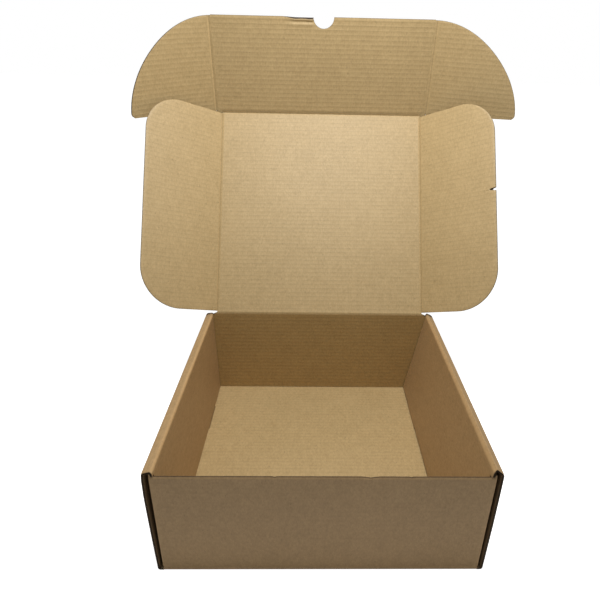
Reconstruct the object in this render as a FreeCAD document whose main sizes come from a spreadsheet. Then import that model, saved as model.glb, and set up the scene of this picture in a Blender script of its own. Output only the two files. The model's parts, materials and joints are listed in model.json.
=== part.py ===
import FreeCAD, Part
import Sketcher
import math
import os

# Corrugated mailer box: one die-cut blank, folded. The tray is a single folded sheet.
# The lid, its two wings, the tuck flap and its two ears turn on their creases.
# Frame: origin at the middle of the underside, +X to the right, +Y to the lid's hinge,
# +Z up, millimetres. Every flap lies in its own XZ plane, its crease on an axis of that
# plane and its inner face towards -Y, and is then folded to its place on its parent.

doc = FreeCAD.newDocument("mailer_box")

# Driving dimensions, in millimetres and degrees

SIZES = [
    ("board", 2.9, "thickness of the B-flute board"),
    ("ply_gap", 1.2, "play between the layers of a rolled side wall"),
    ("fold_radius", 2.0, "outer radius of a folded corner"),
    ("outer_width", 354.0, "tray, left to right"),
    ("outer_depth", 338.2, "tray, front to back, over the side walls' cut edges"),
    ("side_height", 138.4, "top of the rolled side walls"),
    ("wall_setback", 0.4, "front and back walls behind the side walls' cut edges"),
    ("top_drop", 2.7, "front and back walls' cut edges under the rolled tops"),
    ("locked_lean", 1.2, "lean of an inner side panel that is locked in its slots"),
    ("loose_lean", 10.2, "lean of the right inner panel, which has sprung loose"),
    ("panel_lift", 0.3, "inner side panel's lower edge over the floor"),
    ("tab_length", 52.0, "locking tab along the wall"),
    ("tab_depth", 1.6, "locking tab below the panel's lower edge"),
    ("tab_spacing", 170.0, "between the middles of the two tabs of a side"),
    ("slot_play", 0.6, "slot longer and wider than its tab"),
    ("flap_length", 150.0, "corner flap hidden in a side wall"),
    ("flap_play", 0.3, "corner flap's edges clear of the floor and the rolled top"),
    ("hinge_height", 141.1, "lid's crease over the table"),
    ("shoulder_run", 5.0, "slope at each end of the back wall's top, sideways"),
    ("shoulder_drop", 1.2, "slope at each end of the back wall's top, downward"),
    ("lid_width", 318.8, "lid between its two wing creases"),
    ("lid_length", 322.4, "lid from the hinge to the tuck crease"),
    ("lid_lean", 30.9, "lid leaning back from upright"),
    ("wing_reach", 121.5, "wing from its crease to its outer edge"),
    ("wing_inset", 1.8, "wing's ends inside the lid's two creases"),
    ("wing_rear_radius", 62.0, "wing's corner near the hinge"),
    ("wing_front_radius", 55.0, "wing's corner near the tuck flap"),
    ("left_wing_fold", 36.0, "left wing folded in from the lid's plane"),
    ("right_wing_fold", 39.0, "right wing folded in from the lid's plane"),
    ("tuck_width", 337.6, "tuck flap between its two ear creases"),
    ("tuck_length", 138.2, "tuck flap from its crease to its free edge"),
    ("tuck_fold", 39.5, "tuck flap folded in from the lid's plane"),
    ("thumb_radius", 15.3, "half-round thumb notch in the tuck flap's free edge"),
    ("ear_reach", 136.5, "radius of an ear's round outer edge"),
    ("ear_inset", 1.6, "ear's lower end above the tuck crease"),
    ("ear_taper", 3.0, "rise of an ear's lower edge"),
    ("ear_corner", 7.0, "small corner between an ear's round and lower edges"),
    ("left_ear_fold", 27.0, "left ear folded in from the tuck flap's plane"),
    ("right_ear_fold", 19.0, "right ear folded in from the tuck flap's plane"),
    ("crease_gap", 0.3, "play between a crease's round edge and its seat"),
    ("crease_relief", 2.0, "inner face cut back from a crease's axis"),
    ("hinge_relief", 2.3, "back wall cut back from the hinge's axis"),
]

sizes = doc.addObject("Spreadsheet::Sheet", "sizes")
for row, (alias, value, meaning) in enumerate(SIZES, start=1):
    sizes.set(f"A{row}", meaning)
    sizes.set(f"B{row}", str(value))
    sizes.setAlias(f"B{row}", alias)
doc.recompute()

# Lengths that follow from the driving ones, as expressions for the objects below

BOARD = "sizes.board"
HALF_BOARD = "(sizes.board / 2)"
HALF_WIDTH = "(sizes.outer_width / 2)"
HALF_DEPTH = "(sizes.outer_depth / 2)"
OUTER_WALL_FACE = f"({HALF_WIDTH} - {BOARD})"
WALL_END = f"({OUTER_WALL_FACE} - sizes.ply_gap)"
INNER_FACE = f"({WALL_END} - 2 * {BOARD} - sizes.ply_gap)"
WALL_FACE = f"({HALF_DEPTH} - sizes.wall_setback)"
PANEL_END = f"({WALL_FACE} - {BOARD} - sizes.ply_gap)"
ROLL_UNDERSIDE = f"(sizes.side_height - {BOARD})"
WALL_TOP = f"({ROLL_UNDERSIDE} - sizes.top_drop)"
PANEL_LENGTH = f"({ROLL_UNDERSIDE} - sizes.panel_lift)"
HINGE_DEPTH = f"({WALL_FACE} - {HALF_BOARD})"
HALF_LID = "(sizes.lid_width / 2)"
HALF_TUCK = "(sizes.tuck_width / 2)"
SEAT_RADIUS = f"({HALF_BOARD} + sizes.crease_gap)"
CUT_MARGIN = "1"
SIDES = ((-1, "left"), (1, "right"))
ENDS = ((-1, "front"), (1, "back"))


def value_of(expression):
    """What an expression of sheet cells gives now, as a plain number."""
    result = sizes.evalExpression(expression.replace("sizes.", ""))
    return float(getattr(result, "Value", result))


def bind(thing, **expressions):
    """Bind properties to expressions; a double underscore stands for a dot."""
    for name, expression in expressions.items():
        thing.setExpression(name.replace("__", "."), expression)


def place(base, axis="0;0;1", angle="0"):
    """Expression of a placement: a spot, and a turn about an axis."""
    return f"placement(vector({base});rotation(vector({axis});{angle}))"


# Sketched boards

def new_body(name):
    body = doc.addObject("PartDesign::Body", name)
    body.Label = name
    return body


def new_sketch(body, role):
    plane = next(f for f in body.Origin.OriginFeatures if f.Role == role)
    sketch = body.newObject("Sketcher::SketchObject", f"{body.Name}_outline")
    sketch.AttachmentSupport = [(plane, "")]
    sketch.MapMode = "FlatFace"
    return sketch


def pin(sketch, kind, item, end, expression):
    """Hold one coordinate of a sketch point at an expression."""
    rule = Sketcher.Constraint(kind, -1, 1, item, end, value_of(expression))
    index = sketch.addConstraint(rule)
    sketch.setExpression(f"Constraints[{index}]", expression)


def draw_polygon(sketch, corners):
    """Closed outline through corners, each a pair of expressions."""
    spots = [FreeCAD.Vector(value_of(a), value_of(b), 0) for a, b in corners]
    pairs = zip(spots, spots[1:] + spots[:1])
    lines = [sketch.addGeometry(Part.LineSegment(a, b), False) for a, b in pairs]
    for line, following in zip(lines, lines[1:] + lines[:1]):
        sketch.addConstraint(Sketcher.Constraint("Coincident", line, 2, following, 1))
    for line, (across, up) in zip(lines, corners):
        pin(sketch, "DistanceX", line, 1, across)
        pin(sketch, "DistanceY", line, 1, up)


def pad(body, sketch, length):
    """Extrude a sketch both ways from its plane, by half of the length each."""
    feature = body.newObject("PartDesign::Pad", f"{body.Name}_pad")
    feature.Profile = sketch
    feature.SideType = "Symmetric"
    bind(feature, Length=length)
    doc.recompute()
    return feature


def padded_polygon(name, role, corners, length):
    body = new_body(name)
    sketch = new_sketch(body, role)
    draw_polygon(sketch, corners)
    pad(body, sketch, length)
    return body


def lies_on(edge, line):
    """Whether an edge lies on a line parallel to an axis, given as x, y, z with one None."""
    ends = [tuple(vertex.Point) for vertex in edge.Vertexes]
    fixed = [(axis, wanted) for axis, wanted in enumerate(line) if wanted is not None]
    return all(abs(end[axis] - wanted) < 1e-4 for end in ends for axis, wanted in fixed)


def round_edges(body, lines, radius):
    """Round the body's edges on the given lines, whose coordinates are expressions."""
    base = body.Tip
    names = []
    for line in lines:
        spot = [None if part is None else value_of(part) for part in line]
        edges = enumerate(base.Shape.Edges, start=1)
        found = [f"Edge{number}" for number, edge in edges if lies_on(edge, spot)]
        if not found:
            raise ValueError(f"{body.Name} has no edge on {line}")
        names += found
    feature = body.newObject("PartDesign::Fillet", f"{body.Name}_round{len(body.Group)}")
    feature.Base = (base, names)
    bind(feature, Radius=radius)
    doc.recompute()


# Creases: the folding board ends in a round nose on the crease's axis. Its parent ends in
# a round seat on the outer face and is cut back on the inner face, towards which it folds.

TURN_TO_X = "rotation(vector(0;1;0);90)"
NO_TURN = "rotation(vector(0;0;1);0)"


def add_nose(body, spot, turn, length):
    """Round edge of a folding board, from the spot along X or Z."""
    nose = body.newObject("PartDesign::AdditiveCylinder", f"{body.Name}_nose")
    bind(nose, Radius=HALF_BOARD, Height=length, Placement=f"placement(vector({spot});{turn})")
    doc.recompute()


def cut_seat(body, name, spot, turn, length, relief_corner, relief_extent):
    """Round seat about a crease's axis, and the inner face's relief beside it."""
    seat = body.newObject("PartDesign::SubtractiveCylinder", f"{body.Name}_{name}_seat")
    bind(seat, Radius=SEAT_RADIUS, Height=length, Placement=f"placement(vector({spot});{turn})")
    relief = body.newObject("PartDesign::SubtractiveBox", f"{body.Name}_{name}_relief")
    bind(relief, Placement=f"placement(vector({relief_corner});{NO_TURN})")
    bind(relief, Length=relief_extent[0], Width=relief_extent[1], Height=relief_extent[2])
    doc.recompute()


def cut_side_seats(body, half_width, length):
    """Seats for the flaps that fold on a board's left and right edges."""
    for sign, side in SIDES:
        inner_edge = f"{half_width} - sizes.crease_relief" if sign > 0 else f"-{half_width}"
        spot = f"{sign} * {half_width};0;-{CUT_MARGIN}"
        corner = f"{inner_edge};-{BOARD};-{CUT_MARGIN}"
        height = f"{length} + 2 * {CUT_MARGIN}"
        cut_seat(body, side, spot, NO_TURN, height, corner, ("sizes.crease_relief", BOARD, height))


# The folding flaps, each flat in its own frame

def make_lid():
    corners = [(f"-{HALF_LID}", "0"), (HALF_LID, "0"),
               (HALF_LID, "sizes.lid_length"), (f"-{HALF_LID}", "sizes.lid_length")]
    lid = padded_polygon("lid_panel", "XZ_Plane", corners, BOARD)
    add_nose(lid, f"-{HALF_LID};0;0", TURN_TO_X, "sizes.lid_width")
    cut_side_seats(lid, HALF_LID, "sizes.lid_length")
    spot = f"-{HALF_LID} - {CUT_MARGIN};0;sizes.lid_length"
    width = f"sizes.lid_width + 2 * {CUT_MARGIN}"
    corner = f"-{HALF_LID} - {CUT_MARGIN};-{BOARD};sizes.lid_length - sizes.crease_relief"
    extent = (width, BOARD, "sizes.crease_relief")
    cut_seat(lid, "top", spot, TURN_TO_X, width, corner, extent)
    lean = "-sizes.lid_lean"
    bind(lid, Placement=place(f"0;{HINGE_DEPTH};sizes.hinge_height", "1;0;0", lean))


def make_wing(sign, side):
    top = "(sizes.lid_length - sizes.wing_inset)"
    outer = f"{sign} * sizes.wing_reach"
    corners = [("0", "sizes.wing_inset"), (outer, "sizes.wing_inset"), (outer, top), ("0", top)]
    wing = padded_polygon(f"{side}_wing", "XZ_Plane", corners, BOARD)
    round_edges(wing, [(outer, None, "sizes.wing_inset")], "sizes.wing_rear_radius")
    round_edges(wing, [(outer, None, top)], "sizes.wing_front_radius")
    add_nose(wing, "0;0;sizes.wing_inset", NO_TURN, f"{top} - sizes.wing_inset")
    fold = f"{-sign} * sizes.{side}_wing_fold"
    seat = place(f"{sign} * {HALF_LID};0;0", "0;0;1", fold)
    bind(wing, Placement=f"lid_panel.Placement * {seat}")


def make_tuck():
    corners = [(f"-{HALF_TUCK}", "0"), (HALF_TUCK, "0"),
               (HALF_TUCK, "sizes.tuck_length"), (f"-{HALF_TUCK}", "sizes.tuck_length")]
    tuck = padded_polygon("tuck_flap", "XZ_Plane", corners, BOARD)
    add_nose(tuck, f"-{HALF_LID};0;0", TURN_TO_X, "sizes.lid_width")
    cut_side_seats(tuck, HALF_TUCK, "sizes.tuck_length")
    thumb = tuck.newObject("PartDesign::SubtractiveCylinder", "thumb_notch")
    spot = f"vector(0;{BOARD};sizes.tuck_length)"
    bind(thumb, Radius="sizes.thumb_radius", Height=f"2 * {BOARD}",
         Placement=f"placement({spot};rotation(vector(1;0;0);90))")
    seat = place("0;0;sizes.lid_length", "1;0;0", "sizes.tuck_fold")
    bind(tuck, Placement=f"lid_panel.Placement * {seat}")


def make_ear(sign, side):
    """Quarter-round ear; its round edge runs on from the tuck flap's free edge."""
    ear = new_body(f"{side}_ear")
    sketch = new_sketch(ear, "XZ_Plane")
    reach = "sizes.ear_reach"
    middle = f"(sizes.tuck_length - {reach})"
    drop = f"(sizes.ear_inset - {middle})"
    slope = "tan(sizes.ear_taper * 1deg)"
    root = f"sqrt({reach}^2 * (1 + {slope}^2) - {drop}^2)"
    tip = f"(({root} - {drop} * {slope}) / (1 + {slope}^2))"
    tip_height = f"(sizes.ear_inset + {tip} * {slope})"
    centre = FreeCAD.Vector(0, value_of(middle), 0)
    low = FreeCAD.Vector(0, value_of("sizes.ear_inset"), 0)
    high = FreeCAD.Vector(0, value_of("sizes.tuck_length"), 0)
    corner = FreeCAD.Vector(sign * value_of(tip), value_of(tip_height), 0)
    lean = math.atan2(corner.y - centre.y, corner.x)
    sweep = (lean, math.pi / 2) if sign > 0 else (math.pi / 2, lean)
    circle = Part.Circle(centre, FreeCAD.Vector(0, 0, 1), value_of(reach))
    corner_end, top_end = (1, 2) if sign > 0 else (2, 1)
    crease = sketch.addGeometry(Part.LineSegment(high, low), False)
    lower = sketch.addGeometry(Part.LineSegment(low, corner), False)
    round_edge = sketch.addGeometry(Part.ArcOfCircle(circle, *sweep), False)
    joins = [(crease, 2, lower, 1), (lower, 2, round_edge, corner_end), (round_edge, top_end, crease, 1)]
    for join in joins:
        sketch.addConstraint(Sketcher.Constraint("Coincident", *join))
    for item, end, height in ((crease, 1, "sizes.tuck_length"), (crease, 2, "sizes.ear_inset"),
                              (round_edge, 3, middle)):
        pin(sketch, "DistanceX", item, end, "0 * 1")
        pin(sketch, "DistanceY", item, end, height)
    pin(sketch, "DistanceX", lower, 2, f"{sign} * {tip}")
    pad(ear, sketch, BOARD)
    round_edges(ear, [(f"{sign} * {tip}", None, tip_height)], "sizes.ear_corner")
    add_nose(ear, "0;0;sizes.ear_inset", NO_TURN, "sizes.tuck_length - sizes.ear_inset")
    fold = f"{-sign} * sizes.{side}_ear_fold"
    seat = place(f"{sign} * {HALF_TUCK};0;0", "0;0;1", fold)
    bind(ear, Placement=f"tuck_flap.Placement * {seat}")


# The tray: floor, outer side walls, rolled tops and inner side panels as one profile,
# front and back walls as a second, then the corner flaps, tabs and slots

def box(name, corner, extent):
    """Block whose low corner and extent are expressions."""
    thing = doc.addObject("Part::Box", name)
    bind(thing, Length=extent[0], Width=extent[1], Height=extent[2],
         Placement=place(";".join(corner)))
    return thing


def fuse(name, parts):
    thing = doc.addObject("Part::MultiFuse", name)
    thing.Shapes = parts
    thing.Refine = True
    return thing


def cut(name, base, tool):
    thing = doc.addObject("Part::Cut", name)
    thing.Base = base
    thing.Tool = tool
    thing.Refine = True
    return thing


def span(sign, near, far):
    """Low end of a stretch from near to far of the middle, on one side of it."""
    return near if sign > 0 else f"-({far})"


def inner_panel(sign, lean):
    """Corners of an inner side panel's section, from its inner face round to the roll."""
    slant = f"sizes.{lean} * 1deg"
    sine, cosine = f"sin({slant})", f"cos({slant})"
    foot = f"({INNER_FACE} - {PANEL_LENGTH} * {sine})"
    foot_height = f"(sizes.side_height - {PANEL_LENGTH} * {cosine})"
    run = f"(({BOARD} - {BOARD} * {sine}) / {cosine})"
    corners = [(INNER_FACE, "sizes.side_height"),
               (foot, foot_height),
               (f"({foot} + {BOARD} * {cosine})", f"({foot_height} - {BOARD} * {sine})"),
               (f"({INNER_FACE} + {BOARD} * {cosine} - {run} * {sine})", ROLL_UNDERSIDE)]
    return [(f"{sign} * {across}", up) for across, up in corners]


def make_side_walls():
    right = [(HALF_WIDTH, "0"), (HALF_WIDTH, "sizes.side_height")]
    right += inner_panel(1, "loose_lean")
    right += [(OUTER_WALL_FACE, ROLL_UNDERSIDE), (OUTER_WALL_FACE, BOARD)]
    left = [(f"-{OUTER_WALL_FACE}", BOARD), (f"-{OUTER_WALL_FACE}", ROLL_UNDERSIDE)]
    left += inner_panel(-1, "locked_lean")[::-1]
    left += [(f"-{HALF_WIDTH}", "sizes.side_height"), (f"-{HALF_WIDTH}", "0")]
    walls = padded_polygon("side_walls", "XZ_Plane", right + left, "sizes.outer_depth")
    folds = [(HALF_WIDTH, "0"), (HALF_WIDTH, "sizes.side_height"), (INNER_FACE, "sizes.side_height")]
    lines = [(f"{sign} * {across}", None, up) for sign, _ in SIDES for across, up in folds]
    round_edges(walls, lines, "sizes.fold_radius")
    trims = []
    for sign, end in ENDS:
        width = f"2 * {OUTER_WALL_FACE}"
        far = f"{HALF_DEPTH} + {CUT_MARGIN}"
        floor_end = f"({WALL_FACE} - sizes.fold_radius)"
        corner = (f"-{OUTER_WALL_FACE}", span(sign, PANEL_END, far), BOARD)
        extent = (width, f"{far} - {PANEL_END}", f"{ROLL_UNDERSIDE} - {BOARD}")
        trims.append(box(f"{end}_panel_trim", corner, extent))
        corner = (f"-{OUTER_WALL_FACE}", span(sign, floor_end, far), f"-{CUT_MARGIN}")
        extent = (width, f"{far} - {floor_end}", f"2 * {BOARD} + {CUT_MARGIN}")
        trims.append(box(f"{end}_floor_trim", corner, extent))
    return cut("side_walls_trimmed", walls, fuse("end_trims", trims))


def make_end_walls():
    inside = f"({WALL_FACE} - {BOARD})"
    back = [(WALL_FACE, "0"), (WALL_FACE, WALL_TOP), (inside, WALL_TOP), (inside, BOARD)]
    front = [(f"-{across}", up) for across, up in back[::-1]]
    walls = padded_polygon("end_walls", "YZ_Plane", back + front, f"2 * {WALL_END}")
    lines = [(None, f"{sign} * {WALL_FACE}", "0") for sign, _ in ENDS]
    lines += [(f"{side} * {WALL_END}", f"{end} * {WALL_FACE}", None)
              for side, _ in SIDES for end, _ in ENDS]
    round_edges(walls, lines, "sizes.fold_radius")
    return walls


def make_back_top():
    """Back wall from the rolled tops' level up to the hinge, with sloped shoulders."""
    top = "(sizes.hinge_height - sizes.hinge_relief)"
    shoulder = f"({top} - sizes.shoulder_drop)"
    foot = f"({WALL_TOP} - {BOARD})"
    half = f"({HALF_LID} + sizes.shoulder_run)"
    corners = [(half, foot), (half, shoulder), (HALF_LID, top),
               (f"-{HALF_LID}", top), (f"-{half}", shoulder), (f"-{half}", foot)]
    back_top = padded_polygon("back_top", "XZ_Plane", corners, BOARD)
    bind(back_top, Placement=place(f"0;{HINGE_DEPTH};0"))
    return back_top


def make_corner_flaps():
    flaps = []
    low = f"({BOARD} + sizes.flap_play)"
    near = f"({WALL_END} - {BOARD})"
    root = f"({WALL_FACE} - sizes.fold_radius)"
    tip = f"({WALL_FACE} - sizes.flap_length)"
    extent = (BOARD, f"{root} - {tip}", f"{WALL_TOP} - sizes.flap_play - {low}")
    for side_sign, side in SIDES:
        for end_sign, end in ENDS:
            corner = (span(side_sign, near, WALL_END), span(end_sign, tip, root), low)
            flaps.append(box(f"{end}_{side}_flap", corner, extent))
    return flaps


def tab_middles():
    return [(end, f"{sign} * sizes.tab_spacing / 2") for sign, end in ENDS]


def make_tabs():
    """Locking tabs, on the slant of the panel that carries them."""
    tabs = []
    leans = {"left": "locked_lean", "right": "loose_lean"}
    for sign, side in SIDES:
        turn = f"{sign} * sizes.{leans[side]}"
        for end, middle in tab_middles():
            tab = doc.addObject("Part::Box", f"{end}_{side}_tab")
            pivot = f"{sign} * {INNER_FACE};{middle} - sizes.tab_length / 2;sizes.side_height"
            low = f"{span(sign, '0', BOARD)};0;-({PANEL_LENGTH} + sizes.tab_depth)"
            bind(tab, Length=BOARD, Width="sizes.tab_length", Height=f"sizes.tab_depth + {BOARD}",
                 Placement=f"{place(pivot, '0;1;0', turn)} * {place(low)}")
            tabs.append(tab)
    return tabs


def make_slots():
    """Slots in the floor, where a locked panel's tabs go through."""
    slots = []
    near = f"({INNER_FACE} - {PANEL_LENGTH} * sin(sizes.locked_lean * 1deg) - sizes.slot_play / 2)"
    extent = (f"{BOARD} + sizes.slot_play", "sizes.tab_length + sizes.slot_play",
              f"{BOARD} + 2 * {CUT_MARGIN}")
    for sign, side in SIDES:
        for end, middle in tab_middles():
            corner = (span(sign, near, f"{near} + {extent[0]}"),
                      f"{middle} - ({extent[1]}) / 2", f"-{CUT_MARGIN}")
            slots.append(box(f"{end}_{side}_slot", corner, extent))
    return fuse("slots", slots)


def make_tray():
    parts = [make_side_walls(), make_end_walls(), make_back_top()]
    parts += make_corner_flaps() + make_tabs()
    tray = cut("tray", fuse("tray_sheet", parts), make_slots())
    tray.Label = "tray"


make_tray()
make_lid()
for sign, side in SIDES:
    make_wing(sign, side)
make_tuck()
for sign, side in SIDES:
    make_ear(sign, side)
doc.recompute()

# Checks, then one STEP file for each piece

NODES = ["tray", "lid_panel", "left_wing", "right_wing", "tuck_flap", "left_ear", "right_ear"]

for thing in doc.Objects:
    if "Invalid" in thing.State or "Error" in thing.State:
        raise ValueError(f"{thing.Name} failed: {thing.State}")

os.makedirs("parts", exist_ok=True)
for name in NODES:
    piece = doc.getObject(name)
    shape = piece.Shape
    if shape.isNull() or not shape.isValid() or len(shape.Solids) != 1:
        raise ValueError(f"{name} isn't one valid solid")
    shape.exportStep(f"parts/{piece.Label}.step")
    print(f"{name}: {shape.Volume / 1000:.1f} cm3, faces {len(shape.Faces)}")
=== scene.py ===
# %% [markdown]
# # A mailer box folded from one sheet
# The real box is a single piece of fluted board. A die cuts the sheet flat, presses fold lines
# into it, and the sheet is then folded by hand: the side walls roll over the corner flaps, and
# the lid keeps two wings, a tuck flap and two ears. This lesson builds each part of the sheet
# the same way: first as a flat grid, then folded or bowed into its place, with two paper liners
# and the wavy paper between them modelled as real, closed sheets.

import json
import math

import bpy
import numpy as np
from mathutils import Matrix, Vector


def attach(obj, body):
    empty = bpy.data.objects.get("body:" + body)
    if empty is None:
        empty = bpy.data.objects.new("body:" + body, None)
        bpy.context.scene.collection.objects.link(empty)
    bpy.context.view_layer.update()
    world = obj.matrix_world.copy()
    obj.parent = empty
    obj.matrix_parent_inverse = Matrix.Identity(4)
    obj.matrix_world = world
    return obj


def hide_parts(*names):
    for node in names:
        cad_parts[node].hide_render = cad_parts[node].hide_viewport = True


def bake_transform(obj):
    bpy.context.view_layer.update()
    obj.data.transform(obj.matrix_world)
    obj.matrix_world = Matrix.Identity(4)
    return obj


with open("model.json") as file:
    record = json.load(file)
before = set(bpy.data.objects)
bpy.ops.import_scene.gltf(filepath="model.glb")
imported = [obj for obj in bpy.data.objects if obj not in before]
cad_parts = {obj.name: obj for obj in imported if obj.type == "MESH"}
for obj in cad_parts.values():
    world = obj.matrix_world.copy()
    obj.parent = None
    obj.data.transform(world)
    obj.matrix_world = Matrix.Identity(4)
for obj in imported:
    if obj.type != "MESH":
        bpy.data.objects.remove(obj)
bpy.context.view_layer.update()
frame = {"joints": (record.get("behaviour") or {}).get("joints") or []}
joints = {joint["name"]: joint for joint in frame["joints"]}

# %% [markdown]
# ## The measures of the sheet
# Every hinge of the frame says where a fold line lies and which way it points, so the fold lines
# are read from there and never typed twice. The other sizes are those of the board itself:
# a 2.9 mm board has a wave every 6.4 mm, and each paper liner is a little over a quarter of a
# millimetre thick. Near each fold line the board is pressed flat, so a strip 3 mm to each side
# of the line is a piece of its own.

# %% Sizes
MM = 0.001
BOARD = 2.9 * MM
HALF = BOARD / 2
LINER = 0.28 * MM
FLUTE = 6.4 * MM
FOLD_REACH = 3.0 * MM

SIDE_OUT = 177.0 * MM
SIDE_TOP = 138.4 * MM
SIDE_LONG = 169.1 * MM
WALL_OUT = 168.7 * MM
WALL_TOP = 132.8 * MM
ROLL_IN = 165.9 * MM
PANEL_LONG = 164.6 * MM
PANEL_DROP = 135.2 * MM
LEFT_PANEL_LEAN = math.radians(1.2)
RIGHT_PANEL_LEAN = math.radians(10.2)
CORNER_FLAP = 147.0 * MM

LEFT_WING_FOLD = math.radians(36.0)
RIGHT_WING_FOLD = math.radians(39.0)
LEFT_EAR_FOLD = math.radians(27.0)
RIGHT_EAR_FOLD = math.radians(19.0)

ACROSS = Vector((1, 0, 0))
UP = Vector((0, 0, 1))
FORWARD = Vector((0, -1, 0))
hinge = Vector(joints["lid_hinge"]["pos_m"])
lid_up = Vector(joints["left_wing_crease"]["axis"]).normalized()
lid_half = joints["right_wing_crease"]["pos_m"][0]
tuck_foot = Vector(joints["tuck_crease"]["pos_m"])
tuck_up = Vector(joints["left_ear_crease"]["axis"]).normalized()
tuck_half = joints["right_ear_crease"]["pos_m"][0]
lid_long = (tuck_foot - hinge).length
tuck_long = 138.2 * MM
lid_face = ACROSS.cross(lid_up)
tuck_face = ACROSS.cross(tuck_up)
lid_lean = -math.atan2(lid_up.y, lid_up.z)
tuck_fold = math.atan2(-tuck_up.y, tuck_up.z) - lid_lean
print("lid %.1f x %.1f mm, leaning %.1f deg, tuck folded %.1f deg" % (
    2 * lid_half / MM, lid_long / MM, math.degrees(lid_lean), math.degrees(tuck_fold)))

# %% [markdown]
# ## The camera
# The photograph was taken from in front and above, with a lens of about 30 mm on a full frame.
# The camera's place and turn come from matching the box's corners. A small lens shift stands in
# for the way that the picture was cropped.

# %% Camera
PICTURE = 600
CAMERA_AT = Vector((-15.51, -538.95, 502.88)) * MM
YAW, PITCH, ROLL = math.radians(-1.464), math.radians(-25.736), math.radians(-1.241)
FOCAL_PIXELS = 507.46
CENTRE_X, CENTRE_Y = 321.76, 300.71
SENSOR = 36.0
NEAREST_SEEN = 0.01


def put_in_scene(name, data):
    thing = bpy.data.objects.new(name, data)
    bpy.context.scene.collection.objects.link(thing)
    return thing


def add_camera():
    data = bpy.data.cameras.new("viewpoint")
    data.sensor_width = SENSOR
    data.lens = FOCAL_PIXELS * SENSOR / PICTURE
    data.shift_x = (PICTURE / 2 - CENTRE_X) / PICTURE
    data.shift_y = (CENTRE_Y - PICTURE / 2) / PICTURE
    data.clip_start = NEAREST_SEEN
    camera = put_in_scene("viewpoint", data)
    turn = Matrix.Rotation(YAW, 3, "Z") @ Matrix.Rotation(PITCH, 3, "X") @ Matrix.Rotation(ROLL, 3, "Y")
    right, ahead, above = turn.col
    axes = Matrix((right, above, -ahead)).transposed()
    camera.matrix_world = Matrix.Translation(CAMERA_AT) @ axes.to_4x4()
    return camera


bpy.context.scene.camera = add_camera()
bpy.context.scene.view_settings.view_transform = "Standard"
print("lens %.1f mm" % bpy.context.scene.camera.data.lens)

# %% [markdown]
# ## Small helpers for shader nodes
# The stage and the papers are made of nodes, and a few short functions add a node and feed its
# inputs. Dragging nodes in the editor would do the same by hand.

# %% Node helpers
def feed(tree, source, target):
    """Links an output to an input, or sets the input where source is a number or a colour."""
    if isinstance(source, bpy.types.NodeSocket):
        tree.links.new(source, target)
    else:
        target.default_value = source


def add_node(tree, kind, inputs=(), **settings):
    """inputs holds the source of each input that is fed, by the input's name or number."""
    node = tree.nodes.new(kind)
    for key, value in settings.items():
        setattr(node, key, value)
    for key, source in dict(inputs).items():
        feed(tree, source, node.inputs[key])
    return node


def work(tree, operation, *values, clamp=False):
    node = add_node(tree, "ShaderNodeMath", enumerate(values), operation=operation, use_clamp=clamp)
    return node.outputs[0]


def empty_tree(owner):
    owner.use_nodes = True
    owner.node_tree.nodes.clear()
    return owner.node_tree


print("node helpers:", add_node.__name__, work.__name__)

# %% [markdown]
# ## Floor, sky and lamps
# The box stands on a white sweep under one large soft lamp that hangs above and in front of it.
# The lamp makes upright walls darker than the lid, as a product table does. The white round the
# box is made for the camera's own rays only, with Light Path, so that it adds no light to the
# board: the floor shows its own lit colour plus a glow, and keeps the box's soft shadow.

# %% Stage
FLOOR_HALF = 12.0
FLOOR_UNDER = 0.4 * MM
FLOOR_COLOUR = (0.9, 0.9, 0.9, 1)
FLOOR_GLOW = 0.93
SKY_LIGHT = 0.195
WHITE = (1, 1, 1, 1)


def seen_rays(tree):
    """One where a ray comes from the camera or through glass, and zero for a ray of light."""
    path = add_node(tree, "ShaderNodeLightPath").outputs
    return work(tree, "MAXIMUM", path["Is Camera Ray"], path["Is Transmission Ray"])


def for_seen_rays(tree, otherwise, seen):
    inputs = {0: seen_rays(tree), 1: otherwise.outputs[0], 2: seen.outputs[0]}
    return add_node(tree, "ShaderNodeMixShader", inputs).outputs[0]


def add_sky():
    world = bpy.data.worlds.new("studio")
    tree = empty_tree(world)
    lit = add_node(tree, "ShaderNodeBackground", {"Color": WHITE, "Strength": SKY_LIGHT})
    seen = add_node(tree, "ShaderNodeBackground", {"Color": WHITE})
    add_node(tree, "ShaderNodeOutputWorld", {"Surface": for_seen_rays(tree, lit, seen)})
    bpy.context.scene.world = world


def add_floor():
    corners = [(x * FLOOR_HALF, y * FLOOR_HALF, 0) for x, y in ((-1, -1), (1, -1), (1, 1), (-1, 1))]
    mesh = bpy.data.meshes.new("white_sweep")
    mesh.from_pydata(corners, [], [(0, 1, 2, 3)])
    floor = put_in_scene("white_sweep", mesh)
    floor.location.z = -FLOOR_UNDER
    material = bpy.data.materials.new("white_sweep_paper")
    tree = empty_tree(material)
    paper = add_node(tree, "ShaderNodeBsdfDiffuse", {"Color": FLOOR_COLOUR})
    dark = add_node(tree, "ShaderNodeEmission", {"Strength": 0.0})
    glow = add_node(tree, "ShaderNodeEmission", {"Strength": FLOOR_GLOW})
    both = add_node(tree, "ShaderNodeAddShader", {0: paper.outputs[0], 1: for_seen_rays(tree, dark, glow)})
    add_node(tree, "ShaderNodeOutputMaterial", {"Surface": both.outputs[0]})
    mesh.materials.append(material)


def add_lamp(name, place, aim, width, power):
    data = bpy.data.lights.new(name, "AREA")
    data.shape = "SQUARE"
    data.size = width
    data.energy = power
    lamp = put_in_scene(name, data)
    lamp.location = place
    lamp.visible_camera = False
    lamp.rotation_euler = (Vector(aim) - Vector(place)).to_track_quat("-Z", "Y").to_euler()


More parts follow.
